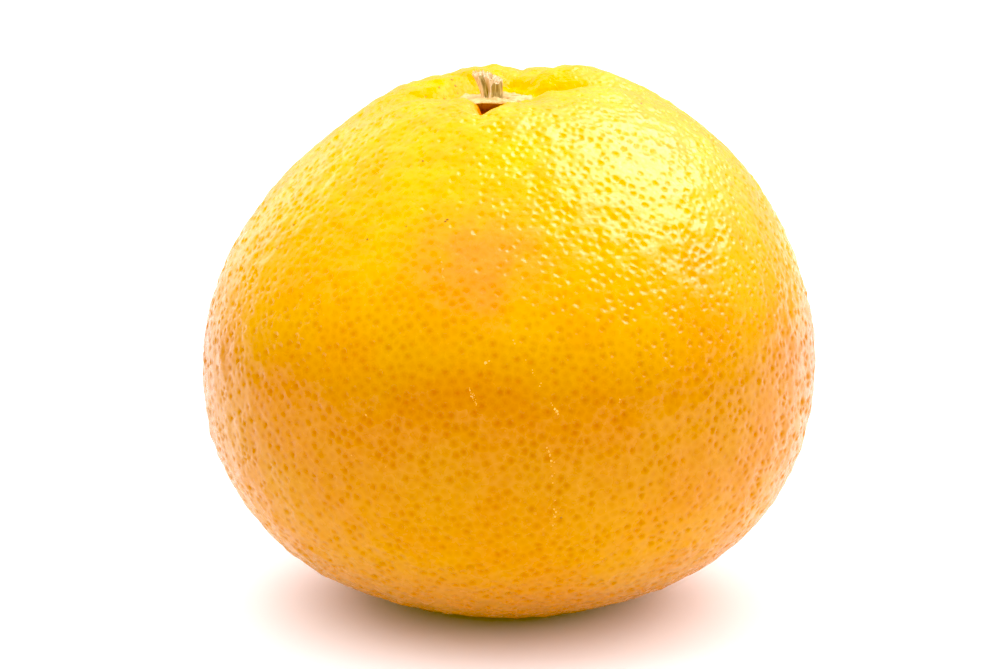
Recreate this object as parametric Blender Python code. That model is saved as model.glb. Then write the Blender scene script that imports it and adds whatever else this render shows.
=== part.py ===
"""A whole grapefruit on the small flat spot at its blossom end, with its calyx and the stub of its stalk.

Metres, +Z up. The origin is the centre of the flat spot. The photograph looks along +Y, +X to its right.
"""

import math

import bmesh
import bpy
import numpy as np

MM = 0.001
SAME_POINT = 0.05 * MM

# Body: two half superellipses that meet at the equator, the upper one taller and more pointed
HALF_WIDTH = 56.0 * MM
UPPER_HEIGHT = 54.0 * MM
LOWER_HEIGHT = 45.4 * MM
UPPER_POWER = 1.88
LOWER_POWER = 2.25
CROWN_LEAN = (4.3 * MM, 1.0 * MM)
FLAT_DEPTH = 0.45 * MM
EQUATOR_Z = LOWER_HEIGHT - FLAT_DEPTH

# Gentle unevenness of the whole body
SWELL_COUNT = 7
SWELL_HEIGHT = 0.06 * MM
SWELL_LENGTHS = (26.0 * MM, 60.0 * MM)
SWELL_SEED = 5

# Stem end: a raised ring of lobes, a broad hollow off centre in it, a steep cup, furrows between the lobes
STEM_AT = (-2.5 * MM, 0.0 * MM)
RING_HEIGHT = 1.3 * MM
RING_RADIUS = 18.5 * MM
RING_WIDTH = 9.0 * MM
# Each hollow, or low swelling where its depth is below zero: x and y from the stem, depth, radius
HOLLOWS = (
    (6.0 * MM, -5.1 * MM, 4.9 * MM, 13.4 * MM),
    (-6.0 * MM, -6.8 * MM, 1.0 * MM, 5.3 * MM),
    (10.1 * MM, -6.5 * MM, -0.9 * MM, 4.0 * MM),
    (-5.4 * MM, -10.4 * MM, -0.9 * MM, 3.3 * MM),
)
CUP_DEPTH = 3.1 * MM
CUP_RADIUS = 8.4 * MM
CUP_STEEPNESS = 8
FURROWS_OPEN = (6.6 * MM, 9.2 * MM)
# Each furrow: direction in degrees from +X, depth, where it starts to fade, where it ends, half width
FURROWS = (
    (6.0, 3.4 * MM, 10.0 * MM, 38.0 * MM, 3.4 * MM),
    (54.0, 1.9 * MM, 14.0 * MM, 32.0 * MM, 1.9 * MM),
    (73.0, 2.4 * MM, 12.0 * MM, 32.0 * MM, 2.6 * MM),
    (124.0, 0.8 * MM, 10.0 * MM, 24.0 * MM, 2.4 * MM),
    (193.0, 2.0 * MM, 10.0 * MM, 30.0 * MM, 2.6 * MM),
    (262.2, 4.6 * MM, 9.3 * MM, 23.7 * MM, 1.1 * MM),
)

# Oil-gland pits, larger than life: one in the middle of each cell, with the cells' edges as ridges
PIT_COUNT = 1990
PIT_DEPTH = 0.36 * MM
PIT_JITTER = 0.26
PIT_EVENING_ROUNDS = 2
PIT_SEED = 11
STEM_CROWDING = 8.0
STEM_CROWDED_SHARE = 0.024
SMOOTH_ROUND_STEM = (8.0 * MM, 26.0 * MM)
SMOOTH_ROUND_BASE = (11.0 * MM, 18.0 * MM)

# Calyx: a dry five-lobed button on the floor of the cup
GAP = 0.4 * MM
CALYX_RADIUS = 6.4 * MM
CALYX_LOBE = 0.5 * MM
CALYX_LOBES = 5
CALYX_TURN = 5.0
CALYX_THICKNESS = 1.2 * MM
CALYX_EDGE = 0.9 * MM
CALYX_SPOKES = 40
CALYX_RINGS = (0.3, 0.55, 0.78, 0.93, 1.0)

# Stalk stub: a woody peg split by one cleft that widens upwards, cut off at a slant
STEM_FOOT_AT = (-3.0 * MM, 0.3 * MM)
STEM_RADIUS = 1.85 * MM
STEM_HEIGHT = 2.9 * MM
STEM_CUT_SLOPE = (-0.45, 0.4)
STEM_FOOT_FLARE = 0.2
STEM_CLEFT_AT = 240.0
STEM_CLEFT_DEPTH = (0.3, 0.85)
STEM_CLEFT_WIDTH = (14.0, 26.0)
STEM_LEAN = -0.05
PRONG_LEAN = -0.34
PRONG_FROM_TO = (120.0, 240.0)
STEM_SPOKES = 36
STEM_LEVELS = 7


def remove_startup_objects():
    for old in list(bpy.data.objects):
        bpy.data.objects.remove(old)


def material(name, colour, roughness):
    made = bpy.data.materials.new(name)
    made.use_nodes = True
    shader = made.node_tree.nodes["Principled BSDF"]
    shader.inputs["Base Color"].default_value = (*colour, 1.0)
    shader.inputs["Roughness"].default_value = roughness
    shader.inputs["Metallic"].default_value = 0.0
    return made


def solid(name, vertices, faces, finish):
    """An object with this mesh, its faces pointing out, shaded smooth."""
    mesh = bpy.data.meshes.new(name)
    mesh.from_pydata([tuple(v) for v in vertices], [], [tuple(f) for f in faces])
    shape = bmesh.new()
    shape.from_mesh(mesh)
    bmesh.ops.remove_doubles(shape, verts=shape.verts, dist=SAME_POINT)
    bmesh.ops.recalc_face_normals(shape, faces=shape.faces)
    shape.to_mesh(mesh)
    shape.free()
    mesh.shade_smooth()
    mesh.materials.append(finish)
    made = bpy.data.objects.new(name, mesh)
    bpy.context.scene.collection.objects.link(made)
    return made


def smooth_step(low, high, value):
    t = np.clip((value - low) / (high - low), 0.0, 1.0)
    return t * t * (3.0 - 2.0 * t)


def swell(points):
    """Height of the body's unevenness at these points: a few long waves in fixed random directions."""
    draw = np.random.default_rng(SWELL_SEED)
    height = np.zeros(len(points))
    for _ in range(SWELL_COUNT):
        along = draw.normal(size=3)
        along /= np.linalg.norm(along)
        length = draw.uniform(*SWELL_LENGTHS)
        phase = draw.uniform(0.0, 2.0 * math.pi)
        height += SWELL_HEIGHT * np.sin(points @ along * 2.0 * math.pi / length + phase)
    return height


def stem_sink(x, y):
    """How far the skin lies below the plain dome at x, y measured from the stem."""
    away = np.hypot(x, y)
    sink = -RING_HEIGHT * np.exp(-(((away - RING_RADIUS) / RING_WIDTH) ** 2))
    for hollow_x, hollow_y, depth, radius in HOLLOWS:
        sink += depth * np.exp(-((np.hypot(x - hollow_x, y - hollow_y) / radius) ** 2))
    sink += CUP_DEPTH * np.exp(-((away / CUP_RADIUS) ** CUP_STEEPNESS))
    opened = smooth_step(*FURROWS_OPEN, away)
    for degrees, depth, fade_from, end, half_width in FURROWS:
        turn = math.radians(degrees)
        along = x * math.cos(turn) + y * math.sin(turn)
        across = np.abs(-x * math.sin(turn) + y * math.cos(turn))
        fade = 1.0 - smooth_step(fade_from, end, along)
        width = half_width * (0.7 + np.maximum(along, 0.0) / end)
        sink += depth * opened * fade * (along > 0.0) * np.exp(-((across / width) ** 1.2))
    return sink


def skin(directions):
    """Points of the smooth skin, for unit vectors from the middle of the equator."""
    across = np.hypot(directions[:, 0], directions[:, 1])
    upper = directions[:, 2] >= 0.0
    power = np.where(upper, UPPER_POWER, LOWER_POWER)
    height = np.where(upper, UPPER_HEIGHT, LOWER_HEIGHT)
    inverse = (across / HALF_WIDTH) ** power + (np.abs(directions[:, 2]) / height) ** power
    radius = inverse ** (-1.0 / power)
    radius += swell(directions * radius[:, None])
    points = directions * radius[:, None]
    rise = np.clip(points[:, 2] / UPPER_HEIGHT, 0.0, 1.0)
    points[:, 0] += CROWN_LEAN[0] * rise**2
    points[:, 1] += CROWN_LEAN[1] * rise**2
    sink = stem_sink(points[:, 0] - STEM_AT[0], points[:, 1] - STEM_AT[1])
    points[:, 2] -= sink * smooth_step(0.2, 0.6, rise)
    return points


def crown_height(x, y):
    """Height of the smooth skin above the equator at x, y, close to the stem."""
    across = np.hypot(x - CROWN_LEAN[0], y - CROWN_LEAN[1])
    dome = UPPER_HEIGHT * (1.0 - (across / HALF_WIDTH) ** UPPER_POWER) ** (1.0 / UPPER_POWER)
    return dome - stem_sink(x - STEM_AT[0], y - STEM_AT[1])


def pit_directions():
    """Unit vectors on a spiral that spaces them evenly, closer round the stem, each moved a little."""
    draw = np.random.default_rng(PIT_SEED)
    levels = np.linspace(0.0, 1.0, 4001)
    crowd = np.cumsum(1.0 + STEM_CROWDING * np.exp(-levels / STEM_CROWDED_SHARE))
    share = (np.arange(PIT_COUNT) + 0.5) / PIT_COUNT
    drop = np.interp(share, (crowd - crowd[0]) / (crowd[-1] - crowd[0]), levels)
    up = 1.0 - 2.0 * drop
    turn = np.arange(PIT_COUNT) * math.pi * (3.0 - math.sqrt(5.0))
    level = np.sqrt(1.0 - up**2)
    places = np.stack([level * np.cos(turn), level * np.sin(turn), up], axis=1)
    pitch = np.sqrt(4.0 * math.pi / PIT_COUNT * np.gradient(drop, share))
    places += draw.normal(size=places.shape) * (PIT_JITTER * pitch)[:, None]
    tilt = math.atan2(STEM_AT[0] - CROWN_LEAN[0], UPPER_HEIGHT)
    x = places[:, 0] * math.cos(tilt) + places[:, 2] * math.sin(tilt)
    z = places[:, 2] * math.cos(tilt) - places[:, 0] * math.sin(tilt)
    places = np.stack([x, places[:, 1], z], axis=1)
    return places / np.linalg.norm(places, axis=1)[:, None]


def evened(places):
    """The same unit vectors, each moved to the middle of its cell, so that no cell is a sliver."""
    corners, triangles = pit_cells(places)
    triangles = np.array(triangles)
    middles = np.zeros_like(places)
    np.add.at(middles, triangles[:, 0], corners[triangles[:, 1:] - len(places)].sum(axis=1))
    return middles / np.linalg.norm(middles, axis=1)[:, None]


def pit_cells(places):
    """Corners of the cells round these unit vectors, and triangles from each place to its cell's edges."""
    hull = bmesh.new()
    for place in places:
        hull.verts.new(place)
    bmesh.ops.convex_hull(hull, input=hull.verts)
    hull.verts.index_update()
    hull.faces.index_update()
    bmesh.ops.recalc_face_normals(hull, faces=hull.faces)
    corners = np.array([face.normal for face in hull.faces])
    triangles = []
    for edge in hull.edges:
        first, second = (len(places) + face.index for face in edge.link_faces)
        triangles += [(vertex.index, first, second) for vertex in edge.verts]
    hull.free()
    return corners, triangles


def build_fruit():
    places = pit_directions()
    for _ in range(PIT_EVENING_ROUNDS):
        places = evened(places)
    corners, triangles = pit_cells(places)
    pits = skin(places)
    plan = np.hypot(pits[:, 0], pits[:, 1])
    stem_plan = np.hypot(pits[:, 0] - STEM_AT[0], pits[:, 1] - STEM_AT[1])
    depth = PIT_DEPTH * np.random.default_rng(PIT_SEED).uniform(0.6, 1.0, PIT_COUNT)
    depth *= np.where(
        pits[:, 2] > 0.0,
        smooth_step(*SMOOTH_ROUND_STEM, stem_plan),
        smooth_step(*SMOOTH_ROUND_BASE, plan),
    )
    pits *= (1.0 - depth / np.linalg.norm(pits, axis=1))[:, None]
    points = np.concatenate([pits, skin(corners)])
    points[:, 2] = np.maximum(points[:, 2] + EQUATOR_Z, 0.0)
    finish = material("rind", (0.93, 0.52, 0.03), 0.42)
    solid("fruit", points, triangles, finish)


def calyx_edge(turn):
    """Radius of the calyx in this direction, in radians: five rounded lobes, no two alike."""
    lobes = math.cos(CALYX_LOBES * (turn - math.radians(CALYX_TURN)))
    uneven = 0.35 * math.sin(2.0 * turn + 0.6)
    return CALYX_RADIUS + CALYX_LOBE * (lobes + uneven) / (1.0 + 0.25 * lobes)


def build_calyx():
    """A thin button that follows the skin under it, thickest in the middle, closed at both middles."""

    def both_sides(x, y, share):
        under = EQUATOR_Z + GAP + crown_height(STEM_AT[0] + x, STEM_AT[1] + y)
        thickness = CALYX_THICKNESS + (CALYX_EDGE - CALYX_THICKNESS) * share**2
        return (x, y, under + thickness), (x, y, under)

    vertices = [*both_sides(0.0, 0.0, 0.0)]
    for share in CALYX_RINGS:
        for i in range(CALYX_SPOKES):
            turn = 2.0 * math.pi * i / CALYX_SPOKES
            away = calyx_edge(turn) * share
            vertices += both_sides(away * math.cos(turn), away * math.sin(turn), share)

    def corner(ring, i, side):
        return 2 + 2 * (ring * CALYX_SPOKES + i % CALYX_SPOKES) + side

    faces = []
    last = len(CALYX_RINGS) - 1
    for i in range(CALYX_SPOKES):
        rim = (corner(last, i, 0), corner(last, i + 1, 0), corner(last, i + 1, 1), corner(last, i, 1))
        faces.append(rim)
        for side in (0, 1):
            faces.append((side, corner(0, i, side), corner(0, i + 1, side)))
            for ring in range(last):
                inner = (corner(ring, i, side), corner(ring, i + 1, side))
                faces.append((*inner, corner(ring + 1, i + 1, side), corner(ring + 1, i, side)))
    made = solid("calyx", vertices, faces, material("calyx", (0.80, 0.62, 0.36), 0.75))
    made.location = (*STEM_AT, 0.0)


def stem_point(degrees, share, level):
    """A point at this direction, share of the stalk's radius, and level from its foot (0) to its cut (1)."""
    turn = math.radians(degrees)
    flutes = 1.0 + 0.07 * math.cos(5.0 * turn + 0.8) + 0.05 * math.cos(9.0 * turn)
    depth, width = (low + (high - low) * level for low, high in (STEM_CLEFT_DEPTH, STEM_CLEFT_WIDTH))
    cleft = 1.0 - depth * math.exp(-(((degrees - STEM_CLEFT_AT) / width) ** 2))
    flare = 1.0 + STEM_FOOT_FLARE * (1.0 - level) ** 2
    radius = STEM_RADIUS * share * flutes * cleft * flare
    x, y = radius * math.cos(turn), radius * math.sin(turn)
    foot = crown_height(STEM_FOOT_AT[0] + x, STEM_FOOT_AT[1] + y) - crown_height(*STEM_FOOT_AT)
    height = (STEM_HEIGHT + STEM_CUT_SLOPE[0] * x + STEM_CUT_SLOPE[1] * y) * level + foot * (1.0 - level)
    on_prong = PRONG_FROM_TO[0] < degrees < PRONG_FROM_TO[1]
    lean = STEM_LEAN + share * (PRONG_LEAN if on_prong else 0.0)
    return (x + lean * height, y, height)


def build_stem():
    """Rings of points from the foot to the slanted cut, closed to a middle point at both ends."""
    degrees = [360.0 * i / STEM_SPOKES + 60.0 for i in range(STEM_SPOKES)]
    levels = [step / (STEM_LEVELS - 1) for step in range(STEM_LEVELS)]
    vertices = [stem_point(turn, 1.0, level) for level in levels for turn in degrees]
    foot, crown = len(vertices), len(vertices) + 1
    vertices += [stem_point(0.0, 0.0, 0.0), stem_point(0.0, 0.0, 1.0)]
    top = (STEM_LEVELS - 1) * STEM_SPOKES
    faces = []
    for i in range(STEM_SPOKES):
        j = (i + 1) % STEM_SPOKES
        faces += [(foot, j, i), (crown, top + i, top + j)]
        for low in range(0, top, STEM_SPOKES):
            high = low + STEM_SPOKES
            faces.append((low + i, low + j, high + j, high + i))
    made = solid("stem", vertices, faces, material("stem", (0.45, 0.36, 0.20), 0.85))
    calyx_top = EQUATOR_Z + crown_height(*STEM_FOOT_AT) + GAP + CALYX_THICKNESS
    made.location = (*STEM_FOOT_AT, calyx_top + GAP)


remove_startup_objects()
build_fruit()
build_calyx()
build_stem()
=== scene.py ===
"""The looks of the grapefruit: pitted rind, dry calyx and split stalk stub, on a white floor in soft light.

Metres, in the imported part's frame: +Z up, and the photograph looks along +Y with +X to its right.
The skin follows the same formula as the solid, with finer pits, and every piece stands where its solid is.
"""

import math

import bpy
import numpy as np
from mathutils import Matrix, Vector
from mathutils.bvhtree import BVHTree
from mathutils.geometry import delaunay_2d_cdt


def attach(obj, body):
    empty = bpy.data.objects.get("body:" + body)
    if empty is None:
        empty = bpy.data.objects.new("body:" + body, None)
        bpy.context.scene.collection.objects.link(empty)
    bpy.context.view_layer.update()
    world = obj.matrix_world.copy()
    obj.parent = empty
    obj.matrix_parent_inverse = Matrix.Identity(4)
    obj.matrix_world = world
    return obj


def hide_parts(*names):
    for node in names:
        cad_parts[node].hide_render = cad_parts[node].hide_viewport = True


MM = 0.001
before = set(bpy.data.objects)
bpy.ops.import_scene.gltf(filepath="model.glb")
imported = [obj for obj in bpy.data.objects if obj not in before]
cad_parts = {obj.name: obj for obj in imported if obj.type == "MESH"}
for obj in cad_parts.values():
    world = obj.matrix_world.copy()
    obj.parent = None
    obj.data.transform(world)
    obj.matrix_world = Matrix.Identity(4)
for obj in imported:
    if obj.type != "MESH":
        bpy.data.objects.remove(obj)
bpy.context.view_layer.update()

# Photograph: the size of its frame, and the camera that took it
PHOTO_SIZE = (999, 669)
SENSOR_WIDTH = 36.0
LENS = 119.7
CAMERA_DISTANCE = 610.0 * MM
CAMERA_ELEVATION = 14.0
CAMERA_AIM_RIGHT = -1.65 * MM
CAMERA_AIM_UP = 4.2 * MM

# Body: two half superellipses that meet at the equator, the upper one taller and more pointed
HALF_WIDTH = 56.0 * MM
UPPER_HEIGHT = 54.0 * MM
LOWER_HEIGHT = 45.4 * MM
UPPER_POWER = 1.88
LOWER_POWER = 2.25
CROWN_LEAN = (4.3 * MM, 1.0 * MM)
FLAT_DEPTH = 0.45 * MM
EQUATOR_Z = LOWER_HEIGHT - FLAT_DEPTH

# Gentle unevenness of the whole body, and the finer lumps of the rind between its pits
SWELL = {"count": 7, "height": 0.06 * MM, "lengths": (26.0 * MM, 60.0 * MM), "seed": 5}
LUMPS = {"count": 70, "height": 0.018 * MM, "lengths": (2.4 * MM, 6.5 * MM), "seed": 21}

# Stem end: a raised ring of lobes, a broad hollow off centre in it, a steep cup, furrows between the lobes
STEM_AT = (-2.5 * MM, 0.0 * MM)
RING_HEIGHT = 1.3 * MM
RING_RADIUS = 18.5 * MM
RING_WIDTH = 9.0 * MM
# Each hollow, or low swelling where its depth is below zero: x and y from the stem, depth, radius
HOLLOWS = (
    (6.0 * MM, -5.1 * MM, 4.9 * MM, 13.4 * MM),
    (-6.0 * MM, -6.8 * MM, 1.0 * MM, 5.3 * MM),
    (10.1 * MM, -6.5 * MM, -0.9 * MM, 4.0 * MM),
    (-5.4 * MM, -10.4 * MM, -0.9 * MM, 3.3 * MM),
)
CUP_DEPTH = 3.1 * MM
CUP_RADIUS = 8.4 * MM
CUP_STEEPNESS = 8
FURROWS_OPEN = (6.6 * MM, 9.2 * MM)
# Each furrow: direction in degrees from +X, depth, where it starts to fade, where it ends, half width
FURROWS = (
    (6.0, 3.4 * MM, 10.0 * MM, 38.0 * MM, 3.4 * MM),
    (54.0, 1.9 * MM, 14.0 * MM, 32.0 * MM, 1.9 * MM),
    (73.0, 2.4 * MM, 12.0 * MM, 32.0 * MM, 2.6 * MM),
    (124.0, 0.8 * MM, 10.0 * MM, 24.0 * MM, 2.4 * MM),
    (193.0, 2.0 * MM, 10.0 * MM, 30.0 * MM, 2.6 * MM),
    (262.2, 4.6 * MM, 9.3 * MM, 23.7 * MM, 1.1 * MM),
)
# Dark gap under the front of the calyx and the fold that runs out of it: direction in degrees, depth,
# where it opens, where it ends, and half width
NOTCHES = (
    (259.0, 2.6 * MM, (4.0 * MM, 5.6 * MM), (6.4 * MM, 9.0 * MM), 2.2 * MM),
    (262.2, 1.6 * MM, (5.5 * MM, 7.5 * MM), (9.5 * MM, 16.0 * MM), 0.8 * MM),
)
# Fine puckers that run out from the cup: how many round the stem, height, and where they fade
PUCKERS = ((17, 0.08 * MM), (29, 0.07 * MM), (43, 0.05 * MM))
PUCKERS_FADE = (10.0 * MM, 28.0 * MM)

# Oil-gland pits. A weak one is a plain dip; a stronger one has a ring of its own round its bottom
STRAIGHT_DOWN = (0.0, 0.0, -1.0)
PIT_COUNT = 13000
PIT_DEPTH = 0.19 * MM
PIT_RADII = (0.42 * MM, 0.66 * MM)
PIT_RING = 0.50 * MM
PIT_RING_DEPTH = 0.5
PIT_WEAK = 0.55
PIT_SMALL_CELL = (0.4 * MM, 0.85 * MM)
PIT_JITTER = 0.27
PIT_EVENING_ROUNDS = 1
PIT_SEED = 11
STEM_CROWDING = 3.0
STEM_CROWDED_SHARE = 0.02
SMOOTH_ROUND_STEM = (7.0 * MM, 24.0 * MM)

# Calyx: its outline, five uneven lobes
CALYX_RADIUS = 6.4 * MM
CALYX_LOBE = 0.5 * MM
CALYX_LOBES = 5
CALYX_TURN = 5.0

# The calyx as a button: its mesh, how far it sinks into the skin, the height and tilt of its top, and its
# thickness in the middle and at the rim
BUTTON_SPOKES = 180
BUTTON_RINGS = 30
BUTTON_SINK = 0.2 * MM
BUTTON_LEVEL = 93.25 * MM
BUTTON_TILT = 0.03
BUTTON_THICKNESS = 1.5 * MM
BUTTON_RIM = 0.35 * MM
# Ridges that run out over the calyx: how many, and height
BUTTON_RIDGES = ((10, 0.10 * MM), (23, 0.06 * MM), (41, 0.04 * MM))
# Low swelling round the foot of the stalk: radius, half width, height
BUTTON_COLLAR = (3.0 * MM, 1.1 * MM, 0.12 * MM)
STRAW_COLOURS = ((0.80, 0.56, 0.25), (0.56, 0.32, 0.11))
STRAW_STAIN = (0.30, 0.14, 0.06)

# Stalk stub, split in two. Each row: x, y, z, half width, half depth, and turn in degrees
STALK_SPOKES = 96
STALK_LEVELS = 30
BLOCK_PATH = (
    (-2.6 * MM, -0.2 * MM, 92.7 * MM, 1.85 * MM, 2.10 * MM, 18.0),
    (-2.6 * MM, -0.2 * MM, 93.5 * MM, 1.40 * MM, 1.75 * MM, 18.0),
    (-2.6 * MM, -0.1 * MM, 94.5 * MM, 1.25 * MM, 1.60 * MM, 18.0),
    (-2.6 * MM, 0.0 * MM, 96.6 * MM, 1.28 * MM, 1.65 * MM, 18.0),
)
PRONG_PATH = (
    (-4.0 * MM, -0.9 * MM, 92.7 * MM, 1.00 * MM, 1.10 * MM, 24.0),
    (-4.35 * MM, -0.9 * MM, 93.8 * MM, 0.50 * MM, 0.60 * MM, 26.0),
    (-4.7 * MM, -0.8 * MM, 95.3 * MM, 0.62 * MM, 0.64 * MM, 30.0),
    (-5.1 * MM, -0.6 * MM, 96.6 * MM, 0.78 * MM, 0.68 * MM, 32.0),
    (-5.65 * MM, -0.4 * MM, 97.7 * MM, 0.90 * MM, 0.72 * MM, 34.0),
)
WEB_PATH = (
    (-3.75 * MM, 0.2 * MM, 94.2 * MM, 0.40 * MM, 0.90 * MM, 14.0),
    (-3.75 * MM, 0.2 * MM, 95.8 * MM, 0.70 * MM, 1.15 * MM, 14.0),
    (-3.75 * MM, 0.3 * MM, 97.1 * MM, 1.05 * MM, 1.30 * MM, 14.0),
)
# Shape of each broken end: slope across its width, slope across its depth, twist, and roughness
BLOCK_BREAK = (-0.15 * MM, 0.60 * MM, -0.45 * MM, 0.20 * MM)
PRONG_BREAK = (0.10 * MM, 0.15 * MM, 0.0 * MM, 0.12 * MM)
WEB_BREAK = (-0.50 * MM, 0.30 * MM, 0.0 * MM, 0.22 * MM)
# Directions round each half, in degrees, between which its side is coloured pale straw like its broken end
BLOCK_PALE_SIDE = (100.0, 236.0)
PRONG_PALE_SIDE = (120.0, 240.0)
WEB_PALE_SIDE = (0.0, 360.0)
FIBRE_COUNT = 36
FIBRE_RADIUS = 0.11 * MM
FIBRE_LENGTHS = (0.5 * MM, 1.3 * MM)
FIBRE_SINK = 0.35 * MM
FIBRE_WAVES = (7, 11, 17, 26)
BARK_COLOURS = ((0.25, 0.15, 0.07), (0.54, 0.40, 0.17))
WOOD_COLOURS = ((0.88, 0.68, 0.45), (0.62, 0.38, 0.18))

# Marks seen in the photograph: pixel across, pixel down, and radius
DARK_SPECKS = (
    (451.8, 79.7, 0.24 * MM), (455.3, 85.6, 0.26 * MM), (439.2, 87.2, 0.20 * MM),
    (426.0, 96.6, 0.16 * MM), (444.5, 98.9, 0.22 * MM), (457.6, 93.3, 0.16 * MM),
    (423.0, 161.0, 0.22 * MM), (445.3, 221.4, 0.20 * MM), (447.2, 219.6, 0.22 * MM),
    (406.2, 226.4, 0.20 * MM), (367.4, 239.3, 0.20 * MM), (293.7, 224.9, 0.22 * MM),
    (277.0, 248.4, 0.18 * MM), (641.2, 103.3, 0.22 * MM), (561.2, 517.8, 0.22 * MM),
)
# The pale specks at 441.5 to 443 across, 262 to 277 down, are painted glints: pale beads for a row of small
# highlights
PALE_SPECKS_AND_GLINTS = (
    (485.7, 362.7, 0.34 * MM), (489.0, 361.0, 0.22 * MM), (555.0, 409.0, 0.26 * MM),
    (557.0, 411.5, 0.34 * MM), (558.0, 414.0, 0.24 * MM), (441.5, 262.0, 0.20 * MM),
    (442.5, 269.0, 0.24 * MM), (443.0, 277.0, 0.20 * MM), (366.0, 415.0, 0.22 * MM),
    (351.5, 455.5, 0.20 * MM), (385.5, 467.0, 0.16 * MM), (345.5, 421.0, 0.14 * MM),
)
# Pale scratches, and one row of painted glints: pixels along each, bead radius, spacing, and the share of
# its beads that are there
PALE_TRAILS_AND_GLINTS = (
    (((469.5, 388.0), (472.5, 396.0), (475.0, 402.0), (478.5, 406.5)), 0.13 * MM, 0.14 * MM, 0.95),
    (((509.0, 334.0), (527.6, 362.7), (543.9, 390.0), (555.0, 408.0)), 0.16 * MM, 0.7 * MM, 0.5),
    (((545.0, 440.0), (548.0, 450.0), (553.0, 467.0), (553.0, 485.0), (555.0, 503.0), (554.0, 528.0)),
     0.20 * MM, 0.4 * MM, 0.6),
    (((617.0, 395.0), (621.0, 403.0)), 0.12 * MM, 0.2 * MM, 0.8),
    # Painted glints: a row of small highlights drawn as pale beads
    (((441.0, 258.0), (444.0, 282.0)), 0.14 * MM, 0.4 * MM, 0.7),
)
DARK_COLOURS = ((0.26, 0.085, 0.03), (0.38, 0.15, 0.06))
PALE_COLOURS = ((0.76, 0.37, 0.06), (0.84, 0.48, 0.16))
DARK_SIZE = 1.25
BEAD_SPOKES = 8
BEAD_SINK = 0.06 * MM
BEAD_HEIGHT = 0.25
BEAD_RAGGED = (0.7, 1.2)
TRAIL_BEADS = (0.5, 1.3)
MARK_SEED = 41

# Colours of the rind at heights above the floor: a yellow crown over a deeper orange waist, partly its own
# colour and partly painted light and shade, with a painted reflection of the floor in the lowest band
RIND_AND_LIGHT_BANDS = (
    # Painted reflection of the floor: the blue of this lowest band
    (8.0 * MM, (0.61, 0.240, 0.04)),
    (24.0 * MM, (0.60, 0.250, 0.005)),
    (40.0 * MM, (0.52, 0.200, 0.005)),
    (54.0 * MM, (0.505, 0.185, 0.005)),
    (66.0 * MM, (0.63, 0.300, 0.005)),
    (80.0 * MM, (0.76, 0.410, 0.0)),
    (94.0 * MM, (0.84, 0.475, 0.0)),
)
RIND_NET = (1.0, 0.55, 0.15)
# Painted shade: dark reddish brown in the cup under the front of the calyx
RIND_HOLE_SHADE = (0.34, 0.055, 0.01)
RIND_BLUSH = (0.70, 0.175, 0.04)
# Noise that moves the bands, and that frays the blush: size of its features, and how far it moves them
BAND_WAVER = (22.0 * MM, 6.0 * MM)
BLUSH_WAVER = (6.0 * MM, 18.0 * MM)
MOTTLE_SIZE = 14.0 * MM
# Pale net between the glands: where it starts and is full, in gland radii, and how strong it is
NET_FROM_TO = (1.2, 2.6)
NET_SHARE = 0.06
# Glands: their frayed edge, the heights between which their colour weakens, and what is left of it above
GLAND_EDGE_SIZE = 0.8 * MM
GLAND_EDGE_DEPTH = 0.35 * MM
GLAND_FADE = (58.0 * MM, 76.0 * MM)
GLAND_CROWN_SHARE = 0.15
# Gloss of the waxy rind, duller at the bottom of a gland and close to the stem
RIND_GLOSS = 0.36
GLAND_GLOSS = 0.14
WAX_SIZE = 2.5 * MM
WAX_ROUGHNESS = (0.22, 0.30)
GLAND_ROUGHER = 0.25
STEM_DULL = 0.25
STEM_DULL_REACH = (9.0 * MM, 22.0 * MM)
# Low ripples of the upper rind, longer across than up, and the heights between which they rise
RIPPLE_SIZE = 1.6 * MM
RIPPLE_STRETCH = (0.45, 0.45, 1.0)
RIPPLE_DEPTH = 0.24 * MM
RIPPLE_RISE = (52.0 * MM, 78.0 * MM)
# Wrinkles round the stem, the fine grain, and the hollow of each gland, shallower below the waist
WRINKLE_SIZE = 1.3 * MM
WRINKLE_DEPTH = 0.14 * MM
WRINKLE_REACH = (10.0 * MM, 26.0 * MM)
GRAIN_SIZE = 0.5 * MM
GRAIN_DEPTH = 0.012 * MM
HOLLOW_DEPTH = 0.19 * MM
HOLLOW_RISE = (48.0 * MM, 70.0 * MM)
HOLLOW_LOW_SHARE = 0.55
# Tints that multiply the colour under them
MOTTLE_TINT = (1.0, 0.88, 1.0)
# Painted shade: deeper orange in the dent
DENT_SHADE_TINT = (1.0, 0.90, 1.0)
GLAND_TINT = (0.90, 0.75, 1.0)
RIPPLE_TINT = (1.0, 0.90, 1.0)
# Painted shade: deeper orange on the wall of the fold in front of the calyx
FOLD_SHADE_TINT = (0.95, 0.50, 1.0)

# Places on the skin with a look of their own, and the distances between which it fades; at the dent, the
# hole and the fold that look is painted shade
BLUSH_AT = (-4.2 * MM, -46.2 * MM, 73.4 * MM)
BLUSH_REACH = (9.0 * MM, 27.0 * MM)
BLUSH_SHARE = 0.55
DENT_AT = (32.7 * MM, -35.2 * MM, 71.3 * MM)
DENT_RADIUS = 4.5 * MM
DENT_DEPTH = 0.4 * MM
DENT_SHADE_REACH = (1.0 * MM, 9.0 * MM)
STEM_TOP = (-2.5 * MM, 0.0 * MM, 92.0 * MM)
HOLE_SHADE_AT = (-3.7 * MM, -5.6 * MM, 89.5 * MM)
HOLE_SHADE_REACH = (3.0 * MM, 5.5 * MM)
FOLD_SHADE_AT = (-4.6 * MM, -10.5 * MM, 91.5 * MM)
FOLD_SHADE_REACH = (1.5 * MM, 4.5 * MM)


def unit(vectors):
    return vectors / np.linalg.norm(vectors, axis=-1, keepdims=True)


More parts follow.
